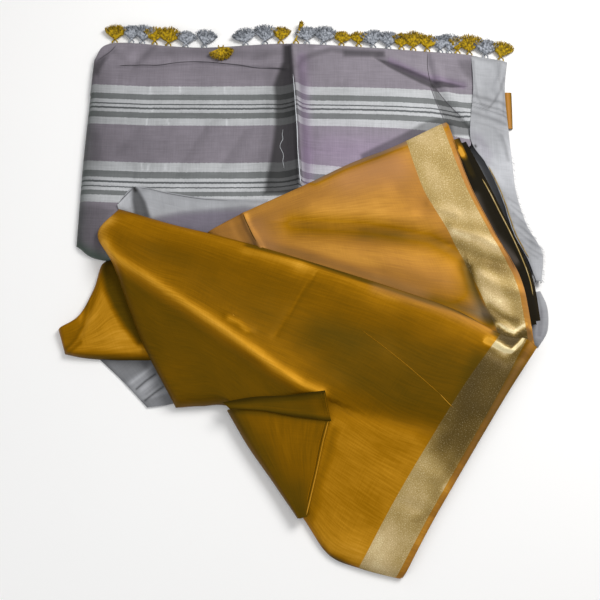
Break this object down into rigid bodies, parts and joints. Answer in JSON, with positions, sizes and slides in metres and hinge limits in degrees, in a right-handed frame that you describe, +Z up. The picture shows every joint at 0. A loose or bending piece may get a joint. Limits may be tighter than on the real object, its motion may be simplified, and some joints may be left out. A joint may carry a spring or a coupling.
{
  "type": "folded saree with tasselled pallu",
  "caption": "Handloom saree folded and laid flat: mustard silk body with woven pale-gold borders, over a grey striped pallu that ends in tassels.",
  "frame": {"origin": "on the surface that the cloth lies on, under the middle of its outline", "axes": "+Z up from the surface; +Y towards the tasselled edge, +X to the right as seen from the other end"},
  "size_m": [0.6564, 0.7752, 0.036],
  "materials": {
    "grey_cloth": "fine handloom cotton-silk in greyish mauve with white stripes, soft sheen",
    "pale_grey_cloth": "the same cloth's paler grey side, crumpled",
    "mustard_silk": "plain woven mustard silk with a strong sheen",
    "zari_border": "woven pale-gold metallic thread, satin bright",
    "mustard_thread": "loose cut threads, matt",
    "grey_thread": "loose cut threads, matt"
  },
  "bodies": {
    "root": {"pallu_stack": "grey_cloth", "pallu_panel": "grey_cloth", "pallu_side_panel": "pale_grey_cloth", "pallu_turnback": "pale_grey_cloth", "pallu_corner": "grey_cloth", "pallu_lobe": "pale_grey_cloth", "body_strip_behind": "mustard_silk", "body_foot": "mustard_silk", "body_core": "mustard_silk", "body_upper_panel": "mustard_silk", "upper_border": "zari_border", "upper_selvedge": "mustard_silk", "body_front_panel": "mustard_silk", "front_border": "zari_border", "front_selvedge": "mustard_silk", "front_tuck": "mustard_silk", "corner_fold": "mustard_silk", "gap_leaf_high": "mustard_silk", "gap_leaf_low": "mustard_silk", "tassel_01": "mustard_thread", "tassel_02": "grey_thread", "tassel_03": "grey_thread", "tassel_04": "mustard_thread", "tassel_05": "mustard_thread", "tassel_06": "grey_thread", "tassel_07": "grey_thread", "tassel_08": "mustard_thread", "tassel_09": "grey_thread", "tassel_10": "grey_thread", "tassel_11": "mustard_thread", "tassel_12": "mustard_thread", "tassel_13": "grey_thread", "tassel_14": "grey_thread", "tassel_15": "mustard_thread", "tassel_16": "mustard_thread", "tassel_17": "grey_thread", "tassel_18": "grey_thread", "tassel_19": "mustard_thread", "tassel_20": "mustard_thread", "tassel_21": "mustard_thread", "tassel_22": "grey_thread", "tassel_23": "grey_thread", "tassel_24": "mustard_thread", "tassel_25": "mustard_thread", "tassel_26": "grey_thread", "tassel_27": "mustard_thread"}
  },
  "joints": []
}
